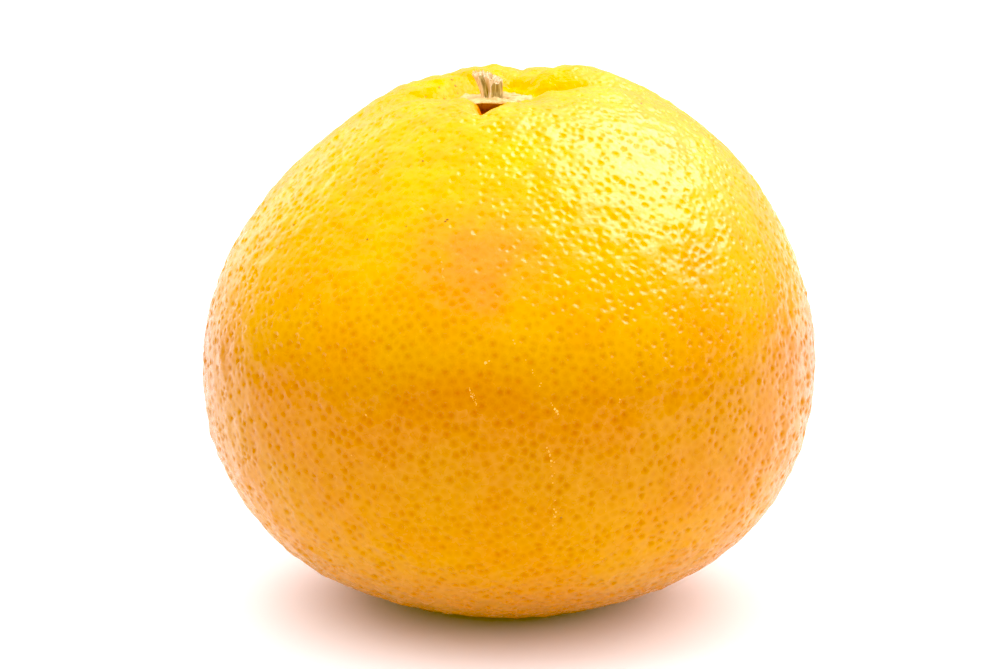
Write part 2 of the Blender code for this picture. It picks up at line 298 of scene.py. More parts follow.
def smooth_step(low, high, value):
    t = np.clip((value - low) / (high - low), 0.0, 1.0)
    return t * t * (3.0 - 2.0 * t)


def waves(points, count, height, lengths, seed):
    """A sum of sine waves in fixed random directions: a soft unevenness at these points."""
    draw = np.random.default_rng(seed)
    total = np.zeros(len(points))
    for _ in range(count):
        along = draw.normal(size=3)
        along /= np.linalg.norm(along)
        length = draw.uniform(*lengths)
        phase = draw.uniform(0.0, 2.0 * math.pi)
        total += height * np.sin(points @ along * 2.0 * math.pi / length + phase)
    return total


def stem_sink(x, y):
    """How far the skin lies below the plain dome at x, y measured from the stem."""
    away = np.hypot(x, y)
    sink = -RING_HEIGHT * np.exp(-(((away - RING_RADIUS) / RING_WIDTH) ** 2))
    for hollow_x, hollow_y, depth, radius in HOLLOWS:
        sink += depth * np.exp(-((np.hypot(x - hollow_x, y - hollow_y) / radius) ** 2))
    sink += CUP_DEPTH * np.exp(-((away / CUP_RADIUS) ** CUP_STEEPNESS))
    opened = smooth_step(*FURROWS_OPEN, away)
    for degrees, depth, fade_from, end, half_width in FURROWS:
        turn = math.radians(degrees)
        along = x * math.cos(turn) + y * math.sin(turn)
        across = np.abs(-x * math.sin(turn) + y * math.cos(turn))
        fade = 1.0 - smooth_step(fade_from, end, along)
        width = half_width * (0.7 + np.maximum(along, 0.0) / end)
        sink += depth * opened * fade * (along > 0.0) * np.exp(-((across / width) ** 1.2))
    return sink


def skin(directions):
    """Points of the smooth skin, for unit vectors from the middle of the equator."""
    across = np.hypot(directions[:, 0], directions[:, 1])
    upper = directions[:, 2] >= 0.0
    power = np.where(upper, UPPER_POWER, LOWER_POWER)
    height = np.where(upper, UPPER_HEIGHT, LOWER_HEIGHT)
    inverse = (across / HALF_WIDTH) ** power + (np.abs(directions[:, 2]) / height) ** power
    radius = inverse ** (-1.0 / power)
    radius += waves(directions * radius[:, None], **SWELL)
    points = directions * radius[:, None]
    rise = np.clip(points[:, 2] / UPPER_HEIGHT, 0.0, 1.0)
    points[:, 0] += CROWN_LEAN[0] * rise**2
    points[:, 1] += CROWN_LEAN[1] * rise**2
    sink = stem_sink(points[:, 0] - STEM_AT[0], points[:, 1] - STEM_AT[1])
    points[:, 2] -= sink * smooth_step(0.2, 0.6, rise)
    return points


def crown_height(x, y):
    """Height of the smooth skin above the equator at x, y, close to the stem."""
    across = np.hypot(x - CROWN_LEAN[0], y - CROWN_LEAN[1])
    dome = UPPER_HEIGHT * (1.0 - (across / HALF_WIDTH) ** UPPER_POWER) ** (1.0 / UPPER_POWER)
    return dome - stem_sink(x - STEM_AT[0], y - STEM_AT[1])


def pit_directions():
    """Unit vectors on a spiral that spaces them evenly, closer round the stem, each moved a little."""
    draw = np.random.default_rng(PIT_SEED)
    levels = np.linspace(0.0, 1.0, 4001)
    crowd = np.cumsum(1.0 + STEM_CROWDING * np.exp(-levels / STEM_CROWDED_SHARE))
    share = (np.arange(PIT_COUNT) + 0.5) / PIT_COUNT
    drop = np.interp(share, (crowd - crowd[0]) / (crowd[-1] - crowd[0]), levels)
    up = 1.0 - 2.0 * drop
    turn = np.arange(PIT_COUNT) * math.pi * (3.0 - math.sqrt(5.0))
    level = np.sqrt(1.0 - up**2)
    places = np.stack([level * np.cos(turn), level * np.sin(turn), up], axis=1)
    pitch = np.sqrt(4.0 * math.pi / PIT_COUNT * np.gradient(drop, share))
    places += draw.normal(size=places.shape) * (PIT_JITTER * pitch)[:, None]
    tilt = math.atan2(STEM_AT[0] - CROWN_LEAN[0], UPPER_HEIGHT)
    x = places[:, 0] * math.cos(tilt) + places[:, 2] * math.sin(tilt)
    z = places[:, 2] * math.cos(tilt) - places[:, 0] * math.sin(tilt)
    places = unit(np.stack([x, places[:, 1], z], axis=1))
    places[-1] = STRAIGHT_DOWN
    return places


def sides_of(triangles):
    """Each side as a pair of point numbers, with the numbers of the triangles that share it."""
    sides = {}
    for number, triangle in enumerate(triangles):
        for a, b in zip(triangle, triangle[1:] + triangle[:1]):
            sides.setdefault((min(a, b), max(a, b)), []).append(number)
    return sides


def pit_cells(places):
    """Corners of the cells round these unit vectors, the last of which points straight down; each cell's
    corners as (place, corner) pairs; and each cell edge as (place, pair, pair)."""
    last = len(places) - 1
    flat = places[:last, :2] / (1.0 + places[:last, 2:])
    _, _, faces, sources, _, _ = delaunay_2d_cdt([Vector(p) for p in flat], [], [], 0, 1e-9)
    triangles = [tuple(sources[i][0] for i in face) for face in faces]
    rim = [side for side, beside in sides_of(triangles).items() if len(beside) == 1]
    triangles += [(*side, last) for side in rim]

    a, b, c = (places[[triangle[i] for triangle in triangles]] for i in range(3))
    corners = unit(np.cross(b - a, c - a))
    corners *= np.sign(np.einsum("ij,ij->i", corners, a))[:, None]
    pairs = [(place, number) for number, triangle in enumerate(triangles) for place in triangle]
    pair_number = {pair: i for i, pair in enumerate(pairs)}
    edges = []
    for side, (first, second) in sides_of(triangles).items():
        edges += [(place, pair_number[place, first], pair_number[place, second]) for place in side]
    return corners, np.array(pairs), np.array(edges)


def evened(places):
    """The same unit vectors, each moved to the middle of its cell's corners."""
    corners, pairs, _ = pit_cells(places)
    middles = np.zeros_like(places)
    np.add.at(middles, pairs[:, 0], corners[pairs[:, 1]])
    middles[-1] = STRAIGHT_DOWN
    return unit(middles)


def facing_out(triangles, directions):
    """The same triangles, turned over where they face the middle of the unit sphere."""
    a, b, c = (directions[triangles[:, i]] for i in range(3))
    inward = np.einsum("ij,ij->i", np.cross(b - a, c - a), a) < 0.0
    triangles[inward] = triangles[inward][:, ::-1]
    return triangles


def vertex_normals(points, triangles):
    """Normals of the points that these triangles use, and upright ones for the rest."""
    a, b, c = (points[triangles[:, i]] for i in range(3))
    faces = np.cross(b - a, c - a)
    normals = np.zeros_like(points)
    for i in range(3):
        np.add.at(normals, triangles[:, i], faces)
    normals[~normals.any(axis=1)] = (0.0, 0.0, 1.0)
    return unit(normals)


def notch_sink(points):
    """How far the gap and the fold in front of the calyx lie below the skin that the solid has."""
    x, y = points[:, 0] - STEM_AT[0], points[:, 1] - STEM_AT[1]
    sink = np.zeros(len(points))
    for degrees, depth, opens, ends, half_width in NOTCHES:
        turn = math.radians(degrees)
        along = x * math.cos(turn) + y * math.sin(turn)
        across = np.abs(-x * math.sin(turn) + y * math.cos(turn))
        open_share = smooth_step(*opens, along) * (1.0 - smooth_step(*ends, along)) * (points[:, 2] > 0.0)
        sink += depth * open_share * np.exp(-((across / half_width) ** 1.6))
    return sink


def stem_puckers(points):
    """Height of the fine puckers that run out from the stem cup."""
    x, y = points[:, 0] - STEM_AT[0], points[:, 1] - STEM_AT[1]
    away, turn = np.hypot(x, y), np.arctan2(y, x)
    bend = 0.5 * np.sin(away / (3.0 * MM)) + waves(points, 8, 0.25, (6.0 * MM, 14.0 * MM), 31)
    height = np.zeros(len(points))
    for count, tall in PUCKERS:
        height += tall * np.sin(count * turn + bend * count / 10.0)
    fade = smooth_step(CUP_RADIUS * 0.9, CUP_RADIUS * 1.3, away) * (1.0 - smooth_step(*PUCKERS_FADE, away))
    return height * fade * (points[:, 2] > 0.0)


def mesh_object(name, points, faces, finish):
    mesh = bpy.data.meshes.new(name)
    mesh.from_pydata(np.asarray(points).tolist(), [], faces)
    mesh.shade_smooth()
    mesh.materials.append(finish)
    made = bpy.data.objects.new(name, mesh)
    bpy.context.scene.collection.objects.link(made)
    return made


def set_attribute(made, name, values, kind="FLOAT", domain="POINT"):
    """A number or vector for each point or face of the mesh, for its material to read."""
    data = made.data.attributes.new(name, kind, domain).data
    data.foreach_set("value" if kind == "FLOAT" else "vector", np.asarray(values, np.float32).ravel())


def pit_strengths(places, cell_size):
    """How deep each pit is, from 0 to 1: weaker close to the stem and in small cells."""
    strength = 0.25 + 0.75 * np.random.default_rng(PIT_SEED + 1).uniform(size=len(places)) ** 1.1
    points = skin(places)
    from_stem = np.hypot(points[:, 0] - STEM_AT[0], points[:, 1] - STEM_AT[1])
    strength *= np.where(points[:, 2] > 0.0, smooth_step(*SMOOTH_ROUND_STEM, from_stem), 1.0)
    return strength * smooth_step(*PIT_SMALL_CELL, cell_size)


def build_rind():
    """A pit in the middle of each cell, whose corners lie on the skin."""
    places = pit_directions()
    for _ in range(PIT_EVENING_ROUNDS):
        places = evened(places)
    corners, pairs, edges = pit_cells(places)
    centres, outer = places[pairs[:, 0]], corners[pairs[:, 1]]
    reach = np.linalg.norm(outer - centres, axis=1)
    rings = unit(centres + (outer - centres) * np.minimum(0.62, PIT_RING / HALF_WIDTH / reach)[:, None])
    cell_size = np.bincount(pairs[:, 0], reach) / np.bincount(pairs[:, 0]) * HALF_WIDTH
    strength = pit_strengths(places, cell_size)

    directions = np.concatenate([places, rings, corners])
    first_ring, first_corner = len(places), len(places) + len(pairs)
    site = edges[:, 0]
    ring_a, ring_b = first_ring + edges[:, 1], first_ring + edges[:, 2]
    corner_a, corner_b = (first_corner + pairs[edges[:, i], 1] for i in (1, 2))
    weak = strength[site] < PIT_WEAK
    kinds = ((weak, (site, corner_a, corner_b)), (~weak, (site, ring_a, ring_b)),
             (~weak, (ring_a, corner_a, corner_b)), (~weak, (ring_a, corner_b, ring_b)))
    triangles = np.concatenate([np.stack(points, axis=1)[chosen] for chosen, points in kinds])
    owners = np.concatenate([site[chosen] for chosen, _ in kinds])
    triangles = facing_out(triangles, directions)

    points = skin(directions)
    normals = vertex_normals(points, triangles)
    pit = np.zeros(len(points))
    pit[: len(places)] = strength
    pit[first_ring:first_corner] = strength[pairs[:, 0]] * PIT_RING_DEPTH
    height = waves(points, **LUMPS) + stem_puckers(points) - PIT_DEPTH * pit
    from_dent = np.linalg.norm(points - np.array(DENT_AT) + (0.0, 0.0, EQUATOR_Z), axis=1)
    height -= DENT_DEPTH * np.exp(-((from_dent / DENT_RADIUS) ** 2))
    points[:, 2] -= notch_sink(points)
    points += normals * height[:, None]
    points[:, 2] = np.maximum(points[:, 2] + EQUATOR_Z, 0.0)

    used, renumbered = np.unique(triangles, return_inverse=True)
    made = mesh_object("rind", points[used], renumbered.reshape(-1, 3).tolist(), rind_finish())
    made.data.normals_split_custom_set_from_vertices(vertex_normals(points, triangles)[used].tolist())
    set_attribute(made, "pit_strength", strength[owners], "FLOAT", "FACE")
    set_attribute(made, "pit_centre", points[owners], "FLOAT_VECTOR", "FACE")
    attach(made, "root")
    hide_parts("fruit")
    return made


class Nodes:
    """Short names for making the shader nodes of one material."""

    def __init__(self, name):
        self.material = bpy.data.materials.new(name)
        self.material.use_nodes = True
        self.tree = self.material.node_tree
        self.shader = self.tree.nodes["Principled BSDF"]
        self.place = self.make("ShaderNodeTexCoord").outputs["Object"]

    def make(self, kind, **settings):
        node = self.tree.nodes.new(kind)
        for key, value in settings.items():
            setattr(node, key, value)
        return node

    def feed(self, socket, value):
        if isinstance(value, bpy.types.NodeSocket):
            self.tree.links.new(value, socket)
        else:
            socket.default_value = value

    def math(self, operation, a, b=0.0):
        node = self.make("ShaderNodeMath", operation=operation)
        self.feed(node.inputs[0], a)
        self.feed(node.inputs[1], b)
        return node.outputs[0]

    def noise(self, size, detail=2.0, place=None):
        """Noise from 0 to 1 with features of this size in metres."""
        node = self.make("ShaderNodeTexNoise")
        self.feed(node.inputs["Vector"], place or self.place)
        node.inputs["Scale"].default_value = 1.0 / size
        node.inputs["Detail"].default_value = detail
        return node.outputs["Fac"]

    def ramp(self, value, low, high, to_low=0.0, to_high=1.0):
        """value from low..high to to_low..to_high, smoothly and held at both ends."""
        node = self.make("ShaderNodeMapRange", interpolation_type="SMOOTHSTEP")
        for socket, setting in zip(node.inputs, (value, low, high, to_low, to_high)):
            self.feed(socket, setting)
        return node.outputs["Result"]

    def mix(self, factor, a, b, blend="MIX"):
        node = self.make("ShaderNodeMix", data_type="RGBA", blend_type=blend)
        sockets = [s for s in node.inputs if s.type == "RGBA"]
        self.feed(node.inputs["Factor"], factor)
        for socket, colour in zip(sockets, (a, b)):
            self.feed(socket, colour if isinstance(colour, bpy.types.NodeSocket) else (*colour, 1.0))
        return next(s for s in node.outputs if s.type == "RGBA")

    def tinted(self, factor, colour, tint):
        """colour, multiplied by the tint where the factor is 1."""
        return self.mix(factor, colour, tint, "MULTIPLY")

    def bands(self, value, rows):
        """The colour at each row's value, and blends of them between."""
        node = self.make("ShaderNodeValToRGB")
        top = rows[-1][0]
        self.feed(node.inputs[0], self.math("DIVIDE", value, top))
        steps = node.color_ramp.elements
        while len(steps) < len(rows):
            steps.new(0.5)
        for step, (level, colour) in zip(steps, rows):
            step.position = level / top
            step.color = (*colour, 1.0)
        return node.outputs["Color"]

    def attribute(self, name, output="Fac"):
        return self.make("ShaderNodeAttribute", attribute_name=name).outputs[output]

    def axis(self, letter):
        node = self.make("ShaderNodeSeparateXYZ")
        self.feed(node.inputs[0], self.place)
        return node.outputs[letter]

    def distance(self, point):
        node = self.make("ShaderNodeVectorMath", operation="DISTANCE")
        self.feed(node.inputs[0], self.place)
        self.feed(node.inputs[1], point)
        return node.outputs["Value"]

    def near(self, point, reach):
        """1 close to the point, fading to 0 between the two distances of the reach."""
        return self.ramp(self.distance(point), *reach, 1.0, 0.0)

    def wavered(self, value, size, amount, detail=2.0):
        """The value plus up to this amount of noise with features of this size."""
        return self.math("ADD", value, self.math("MULTIPLY", self.noise(size, detail), amount))

    def bump(self, height, depth, normal=None):
        """height from 0 to 1 as a bump of this depth in metres."""
        node = self.make("ShaderNodeBump")
        node.inputs["Strength"].default_value = 1.0
        node.inputs["Distance"].default_value = depth
        self.feed(node.inputs["Height"], height)
        if normal is not None:
            self.feed(node.inputs["Normal"], normal)
        return node.outputs["Normal"]


def rind_finish():
    """Waxy rind: a round deeper-orange gland in each cell, a paler net between them, and broad mottling."""
    n = Nodes("rind")
    height = n.axis("Z")
    flattened = n.make("ShaderNodeMapping")
    n.feed(flattened.inputs["Vector"], n.place)
    flattened.inputs["Scale"].default_value = RIPPLE_STRETCH
    ripple = n.noise(RIPPLE_SIZE, 4.0, flattened.outputs["Vector"])
    ripple = n.math("MULTIPLY", ripple, n.ramp(height, *RIPPLE_RISE))

    strength = n.attribute("pit_strength")
    away = n.distance(n.attribute("pit_centre", "Vector"))
    ragged = n.math("MULTIPLY", n.math("SUBTRACT", n.noise(GLAND_EDGE_SIZE), 0.5), GLAND_EDGE_DEPTH)
    away = n.math("DIVIDE", n.math("ADD", away, ragged), n.ramp(strength, 0.1, 1.0, *PIT_RADII))
    gland = n.math("POWER", n.ramp(away, 0.0, 2.0, 1.0, 0.0), 1.8)
    gland = n.math("MULTIPLY", gland, n.ramp(strength, 0.2, 1.0, 0.25, 1.0))
    n.feed(n.shader.inputs["Base Color"], rind_colour(n, height, ripple, away, gland))

    sunk = n.ramp(gland, 0.45, 0.9)
    waxy = n.ramp(n.noise(WAX_SIZE, 3.0), 0.3, 0.7, *WAX_ROUGHNESS)
    n.feed(n.shader.inputs["Roughness"], n.math("ADD", waxy, n.math("MULTIPLY", sunk, GLAND_ROUGHER)))
    shine = n.ramp(sunk, 0.0, 1.0, RIND_GLOSS, GLAND_GLOSS)
    shine = n.math("MULTIPLY", shine, n.ramp(n.distance(STEM_TOP), *STEM_DULL_REACH, STEM_DULL, 1.0))
    n.shader.inputs["Specular IOR Level"].default_value = RIND_GLOSS
    n.feed(n.shader.inputs["Specular IOR Level"], shine)

    wrinkle = n.ramp(n.noise(WRINKLE_SIZE, 3.0), 0.3, 0.7)
    wrinkle = n.math("MULTIPLY", wrinkle, n.near(STEM_TOP, WRINKLE_REACH))
    hollow = n.math("MULTIPLY", n.ramp(away, 0.0, 1.5, 1.0, 0.0), strength)
    hollow = n.math("MULTIPLY", hollow, n.ramp(height, *HOLLOW_RISE, HOLLOW_LOW_SHARE, 1.0))
    relief = n.bump(n.noise(GRAIN_SIZE, 2.0), GRAIN_DEPTH)
    relief = n.bump(ripple, RIPPLE_DEPTH, relief)
    relief = n.bump(wrinkle, WRINKLE_DEPTH, relief)
    relief = n.bump(n.math("SUBTRACT", 1.0, hollow), HOLLOW_DEPTH, relief)
    n.feed(n.shader.inputs["Normal"], relief)
    return n.material


def rind_colour(n, height, ripple, away, gland):
    """Bands of colour by height, partly painted light and shade, mottled and rippled, with the glands, the
    net, the blush and painted shade in the dent, the hole and the fold.
    """
    # Height bands: the rind's own colour with painted light and shade, lighter on the crown and darker at
    # the waist
    colour = n.bands(n.wavered(height, *BAND_WAVER), RIND_AND_LIGHT_BANDS)
    colour = n.tinted(n.ramp(n.noise(MOTTLE_SIZE, 3.0), 0.35, 0.65), colour, MOTTLE_TINT)
    colour = n.tinted(n.ramp(ripple, 0.35, 0.65), colour, RIPPLE_TINT)
    blush = n.wavered(n.distance(BLUSH_AT), *BLUSH_WAVER, 4.0)
    colour = n.mix(n.ramp(blush, *BLUSH_REACH, BLUSH_SHARE, 0.0), colour, RIND_BLUSH)
    # Painted shade in the dent
    colour = n.tinted(n.near(DENT_AT, DENT_SHADE_REACH), colour, DENT_SHADE_TINT)
    colour = n.mix(n.ramp(away, *NET_FROM_TO, 0.0, NET_SHARE), colour, RIND_NET)
    deep = n.ramp(height, *GLAND_FADE, 1.0, GLAND_CROWN_SHARE)
    colour = n.tinted(n.math("MULTIPLY", gland, deep), colour, GLAND_TINT)
    # Painted shade on the wall of the fold
    colour = n.tinted(n.near(FOLD_SHADE_AT, FOLD_SHADE_REACH), colour, FOLD_SHADE_TINT)
    # Painted shade in the cup under the front of the calyx
    return n.mix(n.near(HOLE_SHADE_AT, HOLE_SHADE_REACH), colour, RIND_HOLE_SHADE)


def calyx_edge(turn):
    """Radius of the calyx in this direction, in radians: five rounded lobes, no two alike."""
    lobes = np.cos(CALYX_LOBES * (turn - math.radians(CALYX_TURN)))
    uneven = 0.35 * np.sin(2.0 * turn + 0.6)
    return CALYX_RADIUS + CALYX_LOBE * (lobes + uneven) / (1.0 + 0.25 * lobes)


def closed_rings(rings, bottom, top):
    """Points and faces of a closed solid: equal rings from the bottom up, with a point at either end."""
    count, spokes = len(rings), len(rings[0])
    points = np.concatenate([*rings, [bottom, top]])
    faces = []
    for i in range(spokes):
        j = (i + 1) % spokes
        faces.append((count * spokes, j, i))
        for ring in range(count - 1):
            low, high = ring * spokes, (ring + 1) * spokes
            faces.append((low + i, low + j, high + j, high + i))
        last = (count - 1) * spokes
        faces.append((last + i, last + j, count * spokes + 1))
    return points, faces


def joined(solids):
    """Points and faces of several solids as one."""
    points, faces, start = [], [], 0
    for solid_points, solid_faces in solids:
        points.append(solid_points)
        faces += [tuple(start + i for i in face) for face in solid_faces]
        start += len(solid_points)
    return np.concatenate(points), faces


def build_button():
    """Dry calyx: five flat lobes with a puckered top, over an underside that follows the skin."""
    turn = np.arange(BUTTON_SPOKES) * 2.0 * math.pi / BUTTON_SPOKES
    edge = calyx_edge(turn)

    def ring(share, rise):
        x, y = edge * share * np.cos(turn), edge * share * np.sin(turn)
        skin_z = EQUATOR_Z + crown_height(STEM_AT[0] + x, STEM_AT[1] + y) - BUTTON_SINK
        flat = np.stack([x, y, np.zeros_like(x)], axis=1)
        relief = waves(flat, 14, 0.045 * MM, (1.4 * MM, 4.0 * MM), 51)
        for number, tall in BUTTON_RIDGES:
            bend = waves(flat, 4, 0.8, (3.0 * MM, 6.0 * MM), number)
            relief += tall * share * np.sin(number * turn + bend)
        away = np.hypot(x, y)
        relief += BUTTON_COLLAR[2] * np.exp(-(((away - BUTTON_COLLAR[0]) / BUTTON_COLLAR[1]) ** 2))
        thick = BUTTON_THICKNESS + (BUTTON_RIM - BUTTON_THICKNESS) * share**2
        top = BUTTON_LEVEL - BUTTON_TILT * y
        under = skin_z + (top - thick - skin_z) * smooth_step(0.5, 0.9, share)
        z = under + rise * (top + relief - under)
        return np.stack([STEM_AT[0] + x, STEM_AT[1] + y, z], axis=1)

    rounding = np.radians(np.linspace(0.0, 75.0, 6))
    rings = [ring(share, 0.0) for share in (0.3, 0.6, 0.85, 0.97)]
    rings += [ring(0.94 + 0.06 * math.cos(a), math.sin(a)) for a in rounding]
    rings += [ring(share, 1.0) for share in np.linspace(0.93, 0.04, BUTTON_RINGS)]
    points, faces = closed_rings(rings, rings[0].mean(axis=0), rings[-1].mean(axis=0))
    made = mesh_object("button", points, faces, button_finish())
    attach(made, "root")
    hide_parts("calyx")


def button_finish():
    """Dry calyx: pale straw, mottled, with small brown stains."""
    n = Nodes("button")
    colour = n.mix(n.ramp(n.noise(1.3 * MM, 4.0), 0.35, 0.7), *STRAW_COLOURS)
    colour = n.mix(n.ramp(n.noise(0.5 * MM, 2.0), 0.55, 0.7, 0.0, 0.5), colour, STRAW_STAIN)
    n.feed(n.shader.inputs["Base Color"], colour)
    n.feed(n.shader.inputs["Roughness"], n.ramp(n.noise(0.9 * MM), 0.3, 0.7, 0.6, 0.85))
    n.shader.inputs["Specular IOR Level"].default_value = 0.3
    n.feed(n.shader.inputs["Normal"], n.bump(n.noise(0.35 * MM, 4.0), 0.06 * MM))
    return n.material


def stalk_solid(path, slopes, torn, seed):
    """Points, faces and the broken share of one half of the stalk: a squarish rod with fibres along it."""
    rows = np.array(path)
    levels = np.linspace(0.0, 1.0, STALK_LEVELS)
    given = (rows[:, 2] - rows[0, 2]) / (rows[-1, 2] - rows[0, 2])
    turn = np.arange(STALK_SPOKES) * 2.0 * math.pi / STALK_SPOKES
    cos, sin = np.cos(turn), np.sin(turn)
    draw = np.random.default_rng(seed)
    fibres = sum(draw.uniform(0.4, 1.0) * np.sin(k * turn + draw.uniform(0.0, 6.3)) for k in FIBRE_WAVES)
    width_slope, depth_slope, twist, roughness = slopes

    def ring(level, share):
        x, y, z, width, depth, degrees = (np.interp(level, given, rows[:, i]) for i in range(6))
        radius = share * (np.abs(cos / width) ** 4 + np.abs(sin / depth) ** 4) ** -0.25
        radius += 0.035 * MM * share * fibres * (1.0 + 0.3 * math.sin(9.0 * level + seed))
        u, v = radius * cos, radius * sin
        angle = math.radians(degrees)
        lift = width_slope * u / width + depth_slope * v / depth + twist * u * v / (width * depth)
        ends = np.stack([u, v, np.zeros_like(u)], axis=1)
        lift += roughness * waves(ends, 10, 0.5, (0.35 * MM, 1.1 * MM), seed)
        return np.stack([
            x + u * math.cos(angle) - v * math.sin(angle),
            y + u * math.sin(angle) + v * math.cos(angle),
            z + lift * level**3,
        ], axis=1)

    rings = [ring(level, 1.0) for level in levels]
    rings += [ring(1.0, share) for share in (0.93, 0.8, 0.65, 0.5, 0.35, 0.2, 0.08)]
    points, faces = closed_rings(rings, rings[0].mean(axis=0), rings[-1].mean(axis=0))
    degrees = np.degrees(turn)
    side = ((degrees > torn[0]) & (degrees < torn[1])).astype(float)
    broken = np.ones(len(points))
    broken[: (STALK_LEVELS - 1) * STALK_SPOKES] = np.tile(side, STALK_LEVELS - 1)
    return points, faces, broken


def build_stalk():
    """The stub's two halves, the web of torn wood between them and the fibres on them, as one piece."""
    solids = [
        stalk_solid(BLOCK_PATH, BLOCK_BREAK, BLOCK_PALE_SIDE, 3),
        stalk_solid(PRONG_PATH, PRONG_BREAK, PRONG_PALE_SIDE, 8),
        stalk_solid(WEB_PATH, WEB_BREAK, WEB_PALE_SIDE, 12),
    ]
    draw = np.random.default_rng(61)
    paths = (BLOCK_PATH, PRONG_PATH, WEB_PATH)
    ends = [(solid[0][-1], np.array(path[-1][3:5])) for solid, path in zip(solids, paths)]
    for i in range(FIBRE_COUNT):
        top, (width, depth) = ends[i % 3]
        across, along = draw.uniform(-0.8, 0.8) * width, draw.uniform(-0.8, 0.8) * depth
        solids.append(fibre(top + (across, along, -FIBRE_SINK), draw))
    points, faces = joined([solid[:2] for solid in solids])
    made = mesh_object("stalk", points, faces, stalk_finish())
    set_attribute(made, "broken", np.concatenate([solid[2] for solid in solids]))
    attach(made, "root")
    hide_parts("stem")


def fibre(foot, draw):
    """Points, faces and broken share of one torn fibre that tapers upward from this foot."""
    length = draw.uniform(*FIBRE_LENGTHS)
    lean = np.array([draw.normal() * 0.25, draw.normal() * 0.25, 1.0]) * length
    turn = np.arange(5) * 2.0 * math.pi / 5
    circle = np.stack([np.cos(turn), np.sin(turn), np.zeros(5)], axis=1) * FIBRE_RADIUS
    rings = [foot + lean * t + circle * (1.0 - 0.8 * t) for t in (0.0, 0.4, 0.75)]
    points, faces = closed_rings(rings, foot, foot + lean)
    return points, faces, np.ones(len(points))


def stalk_finish():
    """Woody stub: olive-brown bark with lengthwise streaks, and pale straw at the broken ends and on part
    of the sides.
    """
    n = Nodes("stalk")
    streak_place = n.make("ShaderNodeMapping")
    n.feed(streak_place.inputs["Vector"], n.place)
    streak_place.inputs["Scale"].default_value = (1.0, 1.0, 0.15)
    streak = n.noise(0.35 * MM, 4.0, streak_place.outputs["Vector"])
    bark = n.mix(n.ramp(streak, 0.35, 0.65), *BARK_COLOURS)
    wood = n.mix(n.ramp(streak, 0.35, 0.65), *WOOD_COLOURS)
    ragged = n.wavered(n.attribute("broken"), 0.5 * MM, 0.3)
    colour = n.mix(n.ramp(ragged, 0.45, 0.75), bark, wood)
    n.feed(n.shader.inputs["Base Color"], colour)
    n.feed(n.shader.inputs["Roughness"], n.ramp(streak, 0.3, 0.7, 0.65, 0.85))
    n.shader.inputs["Specular IOR Level"].default_value = 0.3
    n.feed(n.shader.inputs["Normal"], n.bump(streak, 0.08 * MM))
    return n.material


def photo_rays(rind):
    """A function that gives the place and normal on the rind under a pixel of the photograph."""
    mesh = rind.data
    tree = BVHTree.FromPolygons([v.co for v in mesh.vertices], [p.vertices[:] for p in mesh.polygons])
    camera = bpy.context.scene.camera
    turned = camera.rotation_euler.to_matrix()
    pixel = SENSOR_WIDTH / PHOTO_SIZE[0]

    def under(across, down):
        right, up = (across - PHOTO_SIZE[0] / 2) * pixel, (PHOTO_SIZE[1] / 2 - down) * pixel
        place, normal, _, _ = tree.ray_cast(camera.location, turned @ Vector((right, up, -LENS)))
        return np.array(place), np.array(normal)

    return under


def bead(place, normal, radius, draw):
    """Points and faces of a low dome with a ragged edge that stands on the rind."""
    side = unit(np.cross(normal, (0.3, 0.1, 1.0)))
    other = np.cross(normal, side)
    turn = np.arange(BEAD_SPOKES) * 2.0 * math.pi / BEAD_SPOKES
    edge = radius * draw.uniform(*BEAD_RAGGED, BEAD_SPOKES)[:, None]
    around = side * np.cos(turn)[:, None] + other * np.sin(turn)[:, None]
    foot, rise = place - normal * BEAD_SINK, normal * radius * BEAD_HEIGHT
    rings = [foot + around * edge, place + around * edge * 0.6 + rise * 0.7]
    return closed_rings(rings, foot, place + rise)


def trail_places(pixels, spacing, share, draw):
    """Pixels at this spacing in metres along a line through these pixels, some of them left out."""
    step = spacing * LENS / SENSOR_WIDTH * PHOTO_SIZE[0] / CAMERA_DISTANCE
    places = []
    for (ax, ay), (bx, by) in zip(pixels, pixels[1:]):
        count = max(1, round(math.hypot(bx - ax, by - ay) / step))
        for i in range(count):
            t = (i + draw.uniform(-0.3, 0.3)) / count
            if draw.uniform() < share:
                places.append((ax + (bx - ax) * t + draw.normal() * 0.9, ay + (by - ay) * t))
    return places


def build_blemishes(rind):
    """Dark specks, pale specks, pale beaded scratches and a row of painted glints drawn as pale beads, each
    where the photograph shows it.
    """
    under = photo_rays(rind)
    draw = np.random.default_rng(MARK_SEED)
    dark = [bead(*under(across, down), radius * DARK_SIZE, draw) for across, down, radius in DARK_SPECKS]
    pale = [bead(*under(across, down), radius, draw) for across, down, radius in PALE_SPECKS_AND_GLINTS]
    for pixels, radius, spacing, share in PALE_TRAILS_AND_GLINTS:
        for across, down in trail_places(pixels, spacing, share, draw):
            pale.append(bead(*under(across, down), radius * draw.uniform(*TRAIL_BEADS), draw))
    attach(mesh_object("dark_specks", *joined(dark), speck_finish("dark_specks", *DARK_COLOURS)), "root")
    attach(mesh_object("pale_specks_and_glints", *joined(pale), speck_finish("pale_specks_and_glints", *PALE_COLOURS)), "root")


def speck_finish(name, first, second):
    """Dry corky blemish mottled between two colours; on some pale beads this is a painted glint."""
    n = Nodes(name)
    n.feed(n.shader.inputs["Base Color"], n.mix(n.ramp(n.noise(0.25 * MM), 0.4, 0.6), first, second))
    n.feed(n.shader.inputs["Roughness"], n.ramp(n.noise(0.4 * MM), 0.3, 0.7, 0.5, 0.75))
    n.shader.inputs["Specular IOR Level"].default_value = 0.15
    n.feed(n.shader.inputs["Normal"], n.bump(n.noise(0.15 * MM), 0.02 * MM))
    return n.material


